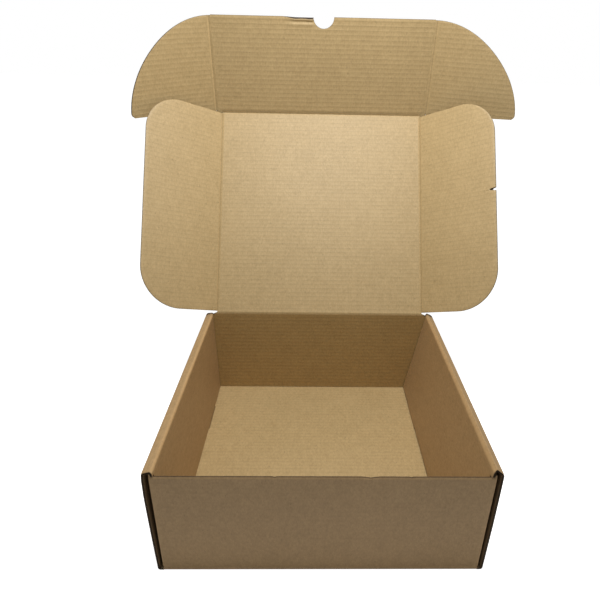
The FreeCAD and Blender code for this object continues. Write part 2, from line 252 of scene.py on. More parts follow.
add_sky()
add_floor()
add_lamp("soft_box", (0.04, -0.07, 0.93), (0, 0.0, 0.1), width=0.45, power=6.2)
print("sky %.2f, floor glow %.2f" % (SKY_LIGHT, FLOOR_GLOW))

# %% [markdown]
# ## A flat grid for a die-cut panel
# Each panel starts flat, with u along the flutes and v across them. The grid has six rows to a
# flute, so that the waves in the paper come out round, and extra rows or columns where the
# outline turns or a fold lies. Cubes and planes with a texture would look like a box from far
# away, but a cut edge of fluted board shows two thin liners with a wave between them, and that
# needs real sheets.

# %% Rows and columns
ROWS_PER_FLUTE = 6
CLOSE_TO_EDGE = np.array([0.0, 0.4, 1.2, 3.0, 6.5]) * MM
FINE_STEPS = np.array([0.03, 0.12, 0.3, 0.6]) * MM
LEAST_STEP = 0.02 * MM


def sorted_places(*groups, least=LEAST_STEP):
    places = np.sort(np.concatenate([np.atleast_1d(np.array(group, float)) for group in groups]))
    keep = [places[0]]
    for place in places[1:]:
        if place - keep[-1] > least:
            keep.append(place)
    return np.array(keep)


def flute_rows(start, end, extra=(), per_flute=ROWS_PER_FLUTE):
    """Rows from start to end that fall at the same points of every flute, with extra ones."""
    step = FLUTE / per_flute
    regular = np.arange(math.ceil(start / step), math.floor(end / step) + 1) * step
    regular = regular[(regular > start + 0.1 * MM) & (regular < end - 0.1 * MM)]
    extra = np.array([place for place in extra if start < place < end])
    return sorted_places([start, end], regular, extra)


def columns_between(left, right, middle):
    """For each row, columns from left to right: close together at the ends, even in the middle."""
    width = (right - left)[:, None]
    squeeze = np.minimum(1, width / (2.6 * CLOSE_TO_EDGE[-1]))
    near = CLOSE_TO_EDGE[None] * squeeze
    inner_left, inner_right = near[:, -1:], width - near[:, -1:]
    share = np.linspace(0, 1, middle + 2)[None, 1:-1]
    between = inner_left + (inner_right - inner_left) * share
    return left[:, None] + np.concatenate([near, between, (width - near)[:, ::-1]], axis=1)


def along_rows(rows, u):
    """The v of every point of a grid whose rows run straight across."""
    return np.repeat(rows[:, None], u.shape[1], axis=1)


print("rows across a 100 mm panel:", len(flute_rows(0, 100 * MM)))

# %% [markdown]
# ## From a grid to closed sheets
# A liner has a front and a back face, joined by narrow faces wherever the grid has an open side,
# so each sheet is a closed solid and a hole or a notch gets its edges by itself. Blender's
# Solidify modifier could do this, but here the front and the back differ, because the flutes
# press through both.

# %% Closed sheets
SHARP_FROM = math.radians(40)


def open_sides(quads):
    """The sides that belong to one quad only, in that quad's own direction."""
    sides = np.concatenate([quads[:, [k, (k + 1) % 4]] for k in range(4)])
    _, where, count = np.unique(np.sort(sides, axis=1), axis=0, return_inverse=True, return_counts=True)
    return sides[count[where.ravel()] == 1]


def quad_middles(grid):
    return (grid[:-1, :-1] + grid[1:, 1:] + grid[1:, :-1] + grid[:-1, 1:]) / 4


def grid_quads(rows, columns, keep):
    row, column = np.meshgrid(np.arange(rows - 1), np.arange(columns - 1), indexing="ij")
    first = row * columns + column
    return np.stack([first, first + 1, first + columns + 1, first + columns], axis=-1)[keep]


class Sheets:
    """Gathers closed sheets and turns them into one mesh object."""

    def __init__(self, name):
        self.name, self.points, self.faces, self.finish, self.marks, self.count = name, [], [], [], [], 0

    def add(self, top, bottom, quads, marks, finishes, flip):
        """top and bottom are N points each. marks: their places in the flat sheet, and their
        distances from a cut and from a fold. finishes: materials of the top, bottom and sides."""
        used = np.unique(quads)
        number = np.full(len(top), -1)
        number[used] = np.arange(len(used))
        quads, n = number[quads], len(used)
        sides = open_sides(quads)
        walls = np.stack([sides[:, 1], sides[:, 0], sides[:, 0] + n, sides[:, 1] + n], axis=1)
        faces = np.concatenate([quads, quads[:, ::-1] + n, walls])
        if flip:
            faces = faces[:, ::-1]
        self.points.append(np.concatenate([top[used], bottom[used]]))
        self.faces.append(faces + self.count)
        self.finish.append(np.repeat(finishes, [len(quads), len(quads), len(walls)]))
        self.marks.append([np.concatenate([values[used], values[used]]) for values in marks])
        self.count += 2 * n

    def build(self, materials):
        mesh = bpy.data.meshes.new(self.name)
        mesh.from_pydata(np.concatenate(self.points).tolist(), [], np.concatenate(self.faces).tolist())
        mesh.polygons.foreach_set("material_index", np.concatenate(self.finish).astype(np.int32))
        mesh.polygons.foreach_set("use_smooth", np.ones(len(mesh.polygons), bool))
        for label, values in zip(("flat_place", "cut_distance", "fold_distance"), zip(*self.marks)):
            kind, field = ("FLOAT_VECTOR", "vector") if label == "flat_place" else ("FLOAT", "value")
            store = mesh.attributes.new(label, kind, "POINT")
            store.data.foreach_set(field, np.concatenate(values).astype(np.float32).ravel())
        for material in materials:
            mesh.materials.append(material)
        mesh.set_sharp_from_angle(angle=SHARP_FROM)
        return put_in_scene(self.name, mesh)


print("open sides of one quad:", len(open_sides(np.array([[0, 1, 2, 3]]))))

# %% [markdown]
# ## What the flutes and the die do to the liners
# Each liner is glued to the crests of the wave, so a faint ridge shows through the paper at every
# crest, six and a half millimetres apart. The inner liner shows it most, because it was pressed
# on the corrugating roll. The die squeezes the board a little along every cut, and the paper near
# a fold line lies flat. No panel stays quite level either, so a slow sway of a few tenths of a
# millimetre runs through it.

# %% Relief of a board
INNER_RIDGE = 0.11 * MM
OUTER_RIDGE = 0.035 * MM
CALM_FROM, CALM_REACH = 2.6 * MM, 3.0 * MM
CUT_SQUEEZE = 0.30 * MM
CUT_REACH = 1.3 * MM
SCORE_DEEP, SCORE_REACH = 0.8 * MM, 1.1 * MM
WAVE_PAPER = 0.22 * MM
SWAY = 0.35 * MM
SWAY_FROM_FOLD = 40 * MM
SWAY_WAVES = 5


def bell(distance, reach):
    return np.exp(-(distance / reach) ** 2)


def ramp(value, start, length):
    """Zero up to start, then rising steadily to one."""
    return np.clip((value - start) / length, 0, 1)


def crest(v, shift=0.0):
    """One on the crest of a flute and zero between two crests."""
    return (0.5 + 0.5 * np.cos(2 * np.pi * (v / FLUTE + shift))) ** 3


def slow_sway(u, v, seed):
    draw = np.random.default_rng(seed)
    total = np.zeros_like(u)
    for _ in range(SWAY_WAVES):
        length, heading, start = draw.uniform(90, 260) * MM, draw.uniform(0, np.pi), draw.uniform(0, 6.3)
        along = u * np.cos(heading) + v * np.sin(heading)
        total += np.sin(2 * np.pi * along / length + start) / SWAY_WAVES
    return total


def nearest(points, places, chunk=2000):
    """Distance from each point to the nearest of the places, in the flat sheet."""
    if len(places) == 0:
        return np.ones(len(points))
    out = []
    for start in range(0, len(points), chunk):
        gap = points[start:start + chunk, None] - places[None]
        out.append(np.sqrt((gap ** 2).sum(axis=2)).min(axis=1))
    return np.concatenate(out)


def left_handed(form, u, v):
    """True where u, v and w make a left-handed frame, so that the faces have to be turned round."""
    at_u, at_v, step = np.full(4, u), np.full(4, v), 0.05 * MM
    at_u[1] += step
    at_v[2] += step
    points = form(at_u, at_v, np.array([0, 0, 0, step]))
    return float(np.linalg.det(points[1:] - points[0])) < 0


def make_board(name, u, v, form, fold_sides=(), joined_sides=(), keep=None, folds=None, sway=1.0, seed=1,
               ridge=1.0, squeezed=1.0, inner_shape=None, outer_shape=None, papers=None):
    """Builds one board from a grid of u and v. form(u, v, w) folds it; w is the way to the inside.

    fold_sides names the grid's sides that meet a fold strip, and joined_sides those that meet
    another board: left, right, low, high.
    folds(u, v) gives the distance to the nearest fold line pressed into the board.
    inner_shape and outer_shape move the points of a liner that is torn, worn or crushed."""
    rows, columns = u.shape
    centre_u, centre_v = quad_middles(u), quad_middles(v)
    kept = np.ones(centre_u.shape, bool) if keep is None else keep(centre_u, centre_v)
    quads = grid_quads(rows, columns, kept)
    edge = np.unique(open_sides(quads))
    on_fold, joined = np.zeros((rows, columns), bool), np.zeros((rows, columns), bool)
    for side, part in zip(("left", "right", "low", "high"), (np.s_[:, 0], np.s_[:, -1], np.s_[0], np.s_[-1])):
        on_fold[part] |= side in fold_sides
        joined[part] |= side in joined_sides
    on_fold, whole = on_fold.ravel(), (on_fold | joined).ravel()
    flat_u, flat_v = u.ravel(), v.ravel()
    places = np.stack([flat_u, flat_v], axis=1)
    cut = nearest(places, places[edge[~whole[edge]]])
    fold = nearest(places, places[edge[on_fold[edge]]]) + FOLD_REACH
    if folds is not None:
        fold = np.minimum(fold, folds(flat_u, flat_v))
    calm = ramp(fold, CALM_FROM, CALM_REACH) * ridge
    squeeze = squeezed * CUT_SQUEEZE * bell(cut, CUT_REACH)
    score = SCORE_DEEP * bell(fold, SCORE_REACH)
    top = HALF - INNER_RIDGE * (1 - crest(flat_v)) * calm - squeeze - score
    bottom = -HALF + OUTER_RIDGE * (1 - crest(flat_v, 0.5)) * calm + squeeze
    drift = SWAY * sway * slow_sway(flat_u, flat_v, seed) * ramp(fold, FOLD_REACH, SWAY_FROM_FOLD)
    sheets = Sheets(name)
    marks = np.stack([flat_u, flat_v, np.full_like(flat_u, 0.01 * seed)], axis=1), cut, fold
    flip = left_handed(form, float(u[rows // 2, columns // 2]), float(v[rows // 2, columns // 2]))

    def layer(front, back, finishes, shape):
        def placed(w):
            if shape is None:
                return form(flat_u, flat_v, w + drift)
            shaped_u, shaped_v, shaped_w = shape(flat_u, flat_v, w)
            return form(shaped_u, shaped_v, shaped_w + drift)
        sheets.add(placed(front), placed(back), quads, marks, finishes, flip)

    layer(top, top - LINER, (0, 3, 2), inner_shape)
    layer(bottom + LINER, bottom, (3, 1, 2), outer_shape)
    middle, room = (top + bottom) / 2, (top - bottom) / 2 - LINER - WAVE_PAPER / 2
    wave = middle + np.maximum(room, LEAST_STEP) * np.cos(2 * np.pi * flat_v / FLUTE)
    layer(wave + WAVE_PAPER / 2, wave - WAVE_PAPER / 2, (3, 3, 3), inner_shape)
    return sheets.build(papers or board_papers)


print("the ridges stand out by %.2f mm inside and %.3f mm outside" % (INNER_RIDGE / MM, OUTER_RIDGE / MM))

# %% [markdown]
# ## Shader groups that every paper shares
# Kraft paper is made of long brown fibres, so its colour changes along short streaks, with darker
# specks of bark, and it drifts a little over a hand's width. These effects come from four node
# groups: fibres, mottle, the marks of the flutes, and the wear along cuts with the wear and
# painted crease shade along folds. All read the place of a point in the flat sheet, which each
# mesh carries as an attribute, so that the grain follows the paper round a fold and stays put
# when a flap moves.

# %% Fibres and mottle
STREAK_SCALE, TANGLE_SCALE, BARK_SCALE = 1500.0, 520.0, 420.0
BARK_FROM, BARK_TO = 0.70, 0.78
MOTTLE = ((9.0, 2.0, 1.0, 0.22), (90.0, 3.0, 0.6, 0.28), (330.0, 3.0, 0.55, 0.5))


def blend_colours(tree, share, first, second):
    node = add_node(tree, "ShaderNodeMix", data_type="RGBA", clamp_factor=True)
    for name, source in (("Factor", share), ("A", first), ("B", second)):
        feed(tree, source, node.inputs[name])
    return node.outputs["Result"]


def noise(tree, place, scale, detail=2.0, stretch=(1, 1, 1)):
    squashed = add_node(tree, "ShaderNodeVectorMath", {0: place, 1: stretch}, operation="MULTIPLY").outputs[0]
    inputs = {"Vector": squashed, "Scale": scale, "Detail": detail}
    return add_node(tree, "ShaderNodeTexNoise", inputs).outputs["Fac"]


def remap(tree, value, low, high, to_low=0.0, to_high=1.0):
    inputs = {"Value": value, "From Min": low, "From Max": high, "To Min": to_low, "To Max": to_high}
    return add_node(tree, "ShaderNodeMapRange", inputs, clamp=True).outputs["Result"]


def new_group(name, values, outputs):
    """A group that takes a place and some values. Returns it with its inputs and its outputs."""
    group = bpy.data.node_groups.new(name, "ShaderNodeTree")
    group.interface.new_socket("Place", in_out="INPUT", socket_type="NodeSocketVector")
    for label, value in values.items():
        group.interface.new_socket(label, in_out="INPUT", socket_type="NodeSocketFloat").default_value = value
    for label in outputs:
        group.interface.new_socket(label, in_out="OUTPUT", socket_type="NodeSocketFloat")
    return group, add_node(group, "NodeGroupInput").outputs, add_node(group, "NodeGroupOutput").inputs


def make_fibres():
    group, given, made = new_group("paper_fibres", {"Contrast": 1.0}, ("Tone", "Specks", "Height"))
    streaks = noise(group, given["Place"], STREAK_SCALE, 3.0, (1.0, 0.22, 1.0))
    tangle = noise(group, given["Place"], TANGLE_SCALE, 4.0, (1.0, 0.5, 1.0))
    both = work(group, "MULTIPLY", work(group, "ADD", streaks, tangle), 0.5)
    spread = work(group, "MULTIPLY", work(group, "SUBTRACT", both, 0.5), given["Contrast"])
    feed(group, work(group, "ADD", spread, 0.5, clamp=True), made["Tone"])
    bark = noise(group, given["Place"], BARK_SCALE, 1.0, (1.0, 0.45, 1.0))
    feed(group, remap(group, bark, BARK_FROM, BARK_TO), made["Specks"])
    feed(group, both, made["Height"])
    return group


def make_mottle():
    group, given, made = new_group("mill_mottle", {}, ("Tone",))
    total = 0.0
    for scale, detail, squash, weight in MOTTLE:
        layer = noise(group, given["Place"], scale, detail, (1.0, squash, 1.0))
        total = work(group, "MULTIPLY_ADD", layer, weight, total)
    feed(group, total, made["Tone"])
    return group


fibres, mottle = make_fibres(), make_mottle()
print("groups:", fibres.name, mottle.name)

# %% [markdown]
# ## Marks of the flutes, wear, and painted crease shade
# Where the wave is glued on, the paper is a shade darker: starch soaks in, and the crest catches
# a little dust. The mark is thin and broken. Along a cut the paper is bruised darker. Along a fold
# the groove is darker, partly from crushed fibres and partly as painted crease shade, and the
# shoulders are paler.

# %% Flute marks, edge wear and painted crease shade
MARK_SHARPNESS = 7.0
RAGGED = 1.2 * MM
BRUISE_REACH = (0.2 * MM, 1.3 * MM)
GROOVE_REACH = (0.3 * MM, 1.2 * MM)
SHOULDER_RISE, SHOULDER_FALL = (1.2 * MM, 2.0 * MM), (2.2 * MM, 3.4 * MM)


def make_flute_marks():
    group, given, made = new_group("flute_marks", {"Shift": 0.0}, ("Mark",))
    v = add_node(group, "ShaderNodeSeparateXYZ", {0: given["Place"]}).outputs["Y"]
    turns = work(group, "ADD", work(group, "DIVIDE", v, FLUTE), given["Shift"])
    wave = work(group, "COSINE", work(group, "MULTIPLY", turns, 2 * math.pi))
    line = work(group, "POWER", work(group, "MULTIPLY_ADD", wave, 0.5, 0.5), MARK_SHARPNESS)
    broken = remap(group, noise(group, given["Place"], 60.0, 3.0, (0.5, 2.2, 1.0)), 0.30, 0.62, 0.25, 1.0)
    feed(group, work(group, "MULTIPLY", line, broken), made["Mark"])
    return group


def make_wear_and_crease_shade():
    group, given, made = new_group("edge_wear", {"Cut distance": 1.0, "Fold distance": 1.0},
                                   ("Bruise", "Groove", "Shoulder"))
    ragged = work(group, "MULTIPLY_ADD", noise(group, given["Place"], 260.0, 3.0), RAGGED, -RAGGED / 2)
    near_cut = work(group, "ADD", given["Cut distance"], ragged)
    feed(group, remap(group, near_cut, *BRUISE_REACH, 1.0, 0.0), made["Bruise"])
    near_fold = work(group, "ADD", given["Fold distance"], work(group, "MULTIPLY", ragged, 0.5))
    # Groove: darker paper in the fold's groove, from crushed fibres and as painted crease shade.
    feed(group, remap(group, near_fold, *GROOVE_REACH, 1.0, 0.0), made["Groove"])
    rise, fall = remap(group, near_fold, *SHOULDER_RISE), remap(group, near_fold, *SHOULDER_FALL, 1.0, 0.0)
    feed(group, work(group, "MULTIPLY", rise, fall), made["Shoulder"])
    return group


flute_marks, edge_wear = make_flute_marks(), make_wear_and_crease_shade()
print("groups:", flute_marks.name, edge_wear.name)

# %% [markdown]
# ## The papers
# The sheet shows four surfaces: the warm inner liner, the duller and smoother outer liner, the
# darker edge of a cut liner, and the darker recycled paper of the wave. Four variants carry
# painted shade: the back wall's inner liner is painted a shade deeper, the outer liner under the
# floor stays dark in the grooves of its folds, and the paper deep inside the hollow side walls is
# painted dark.
# Each is one Principled shader with the shared groups in front of it. A photographed texture
# would repeat and would not follow the folds, and a plain brown would look like painted metal.

# %% Papers
FIBRE_CONTRAST, FIBRE_SHARE = 1.3, 0.45
TONE_FROM, TONE_TO = 0.39, 0.61
DARK_PART, SPECK_SHARE = 0.45, 0.35
SHOULDER_SHARE, SHOULDER_PALER = 0.18, 1.12
GROOVE_SHARE, STRETCHED_PALER = 0.45, 1.4
FIBRE_HEIGHT = 0.06 * MM
ROUGHNESS_SPREAD = 0.05


def read_attribute(tree, name, output="Fac"):
    return add_node(tree, "ShaderNodeAttribute", attribute_name=name).outputs[output]


def place_group(tree, group, **values):
    inputs = {label.replace("_", " ").capitalize(): value for label, value in values.items()}
    node = add_node(tree, "ShaderNodeGroup", node_tree=group)
    for label, source in inputs.items():
        feed(tree, source, node.inputs[label])
    return node.outputs


def make_paper(name, pale, deep, mark=0.0, mark_shift=0.0, bruise=0.35, roughness=0.60, relief=0.35,
               stretched=False):
    """pale and deep are the two ends of the paper's tone; mark and bruise are shares of darkening.

    stretched is true for paper that lies on the outside of a fold, which goes pale there."""
    material = bpy.data.materials.new(name)
    tree = empty_tree(material)
    place = read_attribute(tree, "flat_place", "Vector")
    grain = place_group(tree, fibres, place=place, contrast=FIBRE_CONTRAST)
    drift = place_group(tree, mottle, place=place)["Tone"]
    worn = place_group(tree, edge_wear, place=place, cut_distance=read_attribute(tree, "cut_distance"),
                       fold_distance=read_attribute(tree, "fold_distance"))
    lines = place_group(tree, flute_marks, place=place, shift=mark_shift)["Mark"]
    tone = work(tree, "ADD", work(tree, "MULTIPLY", grain["Tone"], FIBRE_SHARE),
                work(tree, "MULTIPLY", drift, 1 - FIBRE_SHARE))
    dark = [DARK_PART * part for part in deep]
    shoulder = [min(1, SHOULDER_PALER * part) for part in pale]
    # Paper that is not stretched goes dark in the fold's groove: crushed fibres, and painted crease shade.
    on_fold = [min(1, STRETCHED_PALER * part) for part in pale] if stretched else dark
    colour = blend_colours(tree, remap(tree, tone, TONE_FROM, TONE_TO), (*deep, 1), (*pale, 1))
    for mask, share, other in ((grain["Specks"], SPECK_SHARE, dark), (lines, mark, dark),
                               (worn["Shoulder"], SHOULDER_SHARE, shoulder),
                               (worn["Groove"], GROOVE_SHARE, on_fold), (worn["Bruise"], bruise, dark)):
        colour = blend_colours(tree, work(tree, "MULTIPLY", mask, share), colour, (*other, 1))
    inputs = {"Strength": relief, "Distance": FIBRE_HEIGHT, "Height": grain["Height"]}
    bump = add_node(tree, "ShaderNodeBump", inputs).outputs[0]
    rough = remap(tree, grain["Tone"], 0.2, 0.8, roughness + ROUGHNESS_SPREAD, roughness - ROUGHNESS_SPREAD)
    inputs = {"Base Color": colour, "Roughness": rough, "Normal": bump}
    paper = add_node(tree, "ShaderNodeBsdfPrincipled", inputs)
    add_node(tree, "ShaderNodeOutputMaterial", {"Surface": paper.outputs[0]})
    return material


INNER_MARK, OUTER_MARK, OUTER_SHIFT = 0.17, 0.05, 0.5
outer_tones = (0.475, 0.308, 0.144), (0.370, 0.236, 0.106)
inner = make_paper("inner_kraft_liner", (0.540, 0.388, 0.186), (0.420, 0.296, 0.132), INNER_MARK,
                   roughness=0.54, relief=0.5)
outer = make_paper("outer_kraft_liner", *outer_tones, OUTER_MARK, OUTER_SHIFT, stretched=True)
cut_edge = make_paper("cut_liner_edge", (0.190, 0.108, 0.044), (0.110, 0.062, 0.025), bruise=0.5,
                      roughness=0.9, relief=0.3)
flute_paper = make_paper("flute_paper", (0.165, 0.126, 0.090), (0.105, 0.080, 0.056), bruise=0.4,
                         roughness=0.92, relief=0.4)
# Under the floor the outer liner is not made paler along its folds, so the grooves at the box's bottom edges
# stay dark: painted shade where the box meets the floor.
painted_shade_floor_liner = make_paper("scuffed_kraft_liner", *outer_tones, OUTER_MARK, OUTER_SHIFT)
# The back wall's inner liner is painted deeper than the same liner elsewhere: painted shade for the dim
# inside of the tray.
painted_shade_liner = make_paper("shaded_kraft_liner", (0.435, 0.288, 0.112), (0.335, 0.215, 0.079), INNER_MARK,
                          relief=0.5)
# The liner and the wave inside the hollow side walls are painted dark: painted shade for the slots at the
# front corners, not a darker paper.
slot_liner = make_paper("slot_liner", (0.190, 0.124, 0.060), (0.140, 0.090, 0.044), OUTER_MARK)
painted_shade_flute = make_paper("deep_flute_paper", (0.122, 0.084, 0.052), (0.078, 0.053, 0.032), bruise=0.4,
                        roughness=0.92, relief=0.4)
board_papers = [inner, outer, cut_edge, flute_paper]
floor_papers = [inner, painted_shade_floor_liner, cut_edge, flute_paper]
back_papers = [painted_shade_liner, outer, cut_edge, flute_paper]
side_papers = [slot_liner, outer, cut_edge, painted_shade_flute]
print("papers:", [paper.name for paper in board_papers])

# %% [markdown]
# ## Folding a flat panel
# The floor, the walls and the rolled sides are folded about sharp lines: the paper on the outside
# goes round a small arc, and the inside is pinched. A profile walks along the middle of the sheet
# in short runs and bends, and gives the place of any point from its distance along the sheet and
# its height in the board. Bending a finished mesh with a modifier would thin the board at the
# folds, which real board does not do.

# %% Folding
QUARTER = math.pi / 2


def folded_profile(start, heading, steps, turn, squareness=2.0):
    """start: (a, b) of the sheet's middle. steps: ("run", length) or ("bend", angle).

    turn is 1 where the bends and the inside face lie to the left of the heading, and -1 to the right.
    squareness is 2 for a fold with a round outside, and more for a sharper one.
    Returns a function of distance and height, and the distances where the steps end."""
    pieces, ends, place, travelled = [], [], np.array(start, float), 0.0
    for kind, size in steps:
        length = size if kind == "run" else HALF * size
        pieces.append((kind, travelled, length, place.copy(), heading))
        if kind == "run":
            place = place + length * np.array([math.cos(heading), math.sin(heading)])
        else:
            middle = place + turn * HALF * np.array([-math.sin(heading), math.cos(heading)])
            heading += turn * size
            place = middle - turn * HALF * np.array([-math.sin(heading), math.cos(heading)])
        travelled += length
        ends.append(travelled)

    def shape(distance, height):
        a, b = np.zeros_like(distance), np.zeros_like(distance)
        last = len(pieces) - 1
        for index, (kind, begin, length, at, facing) in enumerate(pieces):
            inside = (distance >= begin) if index else np.ones(len(distance), bool)
            if index < last:
                inside &= distance < begin + length
            s = distance[inside] - begin
            ahead = np.array([math.cos(facing), math.sin(facing)])
            side = turn * np.array([-ahead[1], ahead[0]])
            if kind == "run":
                a[inside] = at[0] + s * ahead[0] + height[inside] * side[0]
                b[inside] = at[1] + s * ahead[1] + height[inside] * side[1]
            else:
                centre = at + HALF * side
                angle = facing + turn * s / HALF
                share = QUARTER * (s / length).clip(0, 1)
                sharp = (np.cos(share) ** squareness + np.sin(share) ** squareness) ** (-1 / squareness)
                reach = (HALF - height[inside]) * sharp
                a[inside] = centre[0] + turn * reach * np.sin(angle)
                b[inside] = centre[1] - turn * reach * np.cos(angle)
        return a, b

    return shape, np.array(ends)


def fold_places(steps, ends):
    """The middle of each bend along the sheet."""
    return np.array([end - HALF * size / 2 for (kind, size), end in zip(steps, ends) if kind == "bend"])


def close_to_folds(steps, ends):
    """Columns that let a fold come out round."""
    half = np.array([0.3, 0.9, 1.6, 2.4, 4.2])
    reach = np.concatenate([-half[::-1], half])
    return (fold_places(steps, ends)[:, None] + reach[None] * MM).ravel()


def from_folds(places, steps, ends):
    """Distance from each place along the sheet to the nearest bend."""
    return np.abs(places[:, None] - fold_places(steps, ends)[None]).min(axis=1)


print("a quarter fold takes %.2f mm of the sheet's middle" % (HALF * QUARTER / MM))

# %% [markdown]
# ## The floor and the feet of the walls
# The floor's flutes run from side to side, and the sheet turns up into the front and the back
# wall at two folds that lie along the flutes. Four slots in the floor take the tabs of the rolled
# side panels. The floor piece ends a few millimetres up each wall, where the next piece takes
# over along a flute. The front fold's foot stands out a little.

# %% Floor
SKIRT = 4.5 * MM
FLOOR_END = 170.0 * MM
SLOT_MIDDLE = 85.0 * MM
SLOT_HALF = 26.3 * MM
SLOT_FROM = ROLL_IN - PANEL_DROP * math.sin(LEFT_PANEL_LEAN) - 0.3 * MM
SLOT_TO = SLOT_FROM + 3.5 * MM
FLOOR_FOLD_SQUARE = 2.8
TOE_OUT = 1.2 * MM
TOE_HIGH = 2.6 * MM
TOE_FROM, TOE_REACH = WALL_OUT - 5 * MM, 3 * MM
WALL_MIDDLE = WALL_OUT - HALF


def stand_on_body(piece, body, *nodes):
    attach(piece, body)
    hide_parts(*nodes)
    print("%-26s %6d triangles, on %s" % (piece.name, 2 * len(piece.data.polygons), body))


def make_floor():
    run, across = ("run", SKIRT - BOARD), ("run", 2 * (WALL_OUT - BOARD))
    steps = [run, ("bend", QUARTER), across, ("bend", QUARTER), run]
    shape, ends = folded_profile((-WALL_MIDDLE, SKIRT), -QUARTER, steps, 1, FLOOR_FOLD_SQUARE)
    centre = ends[-1] / 2
    slot_v = [centre + sign * (SLOT_MIDDLE + side * SLOT_HALF) for sign in (-1, 1) for side in (-1, 1)]
    near_folds = close_to_folds(steps, ends).clip(0, ends[-1])
    rows = sorted_places(flute_rows(0, ends[-1], slot_v), near_folds, slot_v, least=0.08 * MM)
    slots = [sign * place for sign in (-1, 1) for place in (SLOT_FROM, SLOT_TO)]
    columns = sorted_places(np.linspace(-FLOOR_END, FLOOR_END, 15), slots)
    u, v = np.meshgrid(columns, rows)

    def solid(at_u, at_v):
        across_slot = (np.abs(at_u) > SLOT_FROM) & (np.abs(at_u) < SLOT_TO)
        return ~(across_slot & (np.abs(np.abs(at_v - centre) - SLOT_MIDDLE) < SLOT_HALF))

    def form(at_u, at_v, w):
        y, z = shape(at_v, w)
        return np.stack([at_u, y - TOE_OUT * bell(z, TOE_HIGH) * ramp(-y, TOE_FROM, TOE_REACH), z], axis=1)

    return make_board("floor", u, v, form, joined_sides=("left", "right", "low", "high"), keep=solid,
                      folds=lambda at_u, at_v: from_folds(at_v, steps, ends), sway=0.0, seed=3, ridge=0.7,
                      papers=floor_papers)


stand_on_body(make_floor(), "tray", "tray")

# %% [markdown]
# ## The front and the back wall
# Each wall turns round at its two ends into a corner flap, which lies hidden between the outer
# side wall and the rolled panel. The upright folds are what shows beside the dark slot at each
# front corner. The back wall rises up to the hinge of the lid, and the ends of both walls rise
# under the rolls. The front wall's edge is worn down at three places: a formula lowers the paper
# there, because a cut notch would look too clean.

# %% Walls with their corner flaps
SIDE_WALL_IN = SIDE_OUT - BOARD
CORNER_GAP = 2.9 * MM
CORNER_FOLD_SQUARE = 2.8
BACK_TOP = hinge.z - FOLD_REACH
BACK_HALF = 167.3 * MM
FRONT_HALF = 168.6 * MM
UNDER_ROLL = SIDE_TOP - BOARD - 0.2 * MM
WORN_PLACES = ((-48.5, 1.6, 0.7), (46.0, 4.5, 1.3), (86.0, 1.6, 0.8))
WORN_STEPS = (-2, -1, -0.4, 0, 0.4, 1, 2)
WORN_REACH = 2 * MM
CLEAR_OF_FOLD = 8 * MM


def make_wall(name, facing, half, top, papers, seed):
    """facing is -1 for the front wall and 1 for the back wall.

    top is the height between the rolled sides, out to half; beyond it the ends rise under the rolls."""
    inner_corner = SIDE_WALL_IN - CORNER_GAP - BOARD
    flap, bend = ("run", CORNER_FLAP), ("bend", QUARTER)
    steps = [flap, bend, ("run", 2 * inner_corner), bend, flap]
    start = (-(inner_corner + HALF), -(WALL_OUT - BOARD) + CORNER_FLAP)
    shape, ends = folded_profile(start, -QUARTER, steps, 1, CORNER_FOLD_SQUARE)
    centre = ends[-1] / 2
    middle = np.linspace(ends[1] + CLEAR_OF_FOLD, ends[2] - CLEAR_OF_FOLD, 14)
    worn = [centre + (place + step * width) * MM for place, width, _ in WORN_PLACES for step in WORN_STEPS]
    columns = sorted_places(np.linspace(0, ends[0] - CLEAR_OF_FOLD, 6), close_to_folds(steps, ends), middle,
                            [centre - half, centre + half], worn if facing < 0 else [],
                            np.linspace(ends[3] + CLEAR_OF_FOLD, ends[4], 6), least=0.15 * MM)
    fine = np.concatenate([SKIRT + FINE_STEPS, top - FINE_STEPS, UNDER_ROLL - FINE_STEPS, [top, UNDER_ROLL]])
    rows = flute_rows(SKIRT, max(top, UNDER_ROLL), fine)
    u, v = np.meshgrid(columns, rows)

    def solid(at_u, at_v):
        return at_v < np.where(np.abs(at_u - centre) < half, top, UNDER_ROLL)

    def worn_edge(at_u, at_v, w):
        along = (at_u - centre) / MM
        dip = sum(deep * bell(along - place, width) for place, width, deep in WORN_PLACES)
        return at_u, at_v - dip * MM * bell((top - at_v).clip(0), WORN_REACH), w

    def form(at_u, at_v, w):
        x, y = shape(at_u, w)
        return np.stack([x, -facing * y, at_v], axis=1)

    def folds(at_u, at_v):
        return np.minimum(from_folds(at_u, steps, ends), at_v - (SKIRT - FOLD_REACH))

    sides = ("high",) if facing > 0 else ()
    edge_shape = worn_edge if facing < 0 else None
    return make_board(name, u, v, form, fold_sides=sides, joined_sides=("low",), keep=solid, folds=folds,
                      sway=0.0, seed=seed, squeezed=2.8, inner_shape=edge_shape, outer_shape=edge_shape,
                      papers=papers)


stand_on_body(make_wall("front_wall", -1, FRONT_HALF, WALL_TOP, board_papers, 5), "tray", "tray")
stand_on_body(make_wall("back_wall", 1, BACK_HALF, BACK_TOP, back_papers, 6), "tray", "tray")

# %% [markdown]
# ## The rolled sides
# A side wall goes up, folds over at the top and comes down again inside the box, with the corner
# flaps between its two layers. So the paper that shows inside the box here is the outer liner,
# and the flutes stand upright. The top springs up like a low tent. The right panel was not
# pushed home, and its foot stands out into the box.

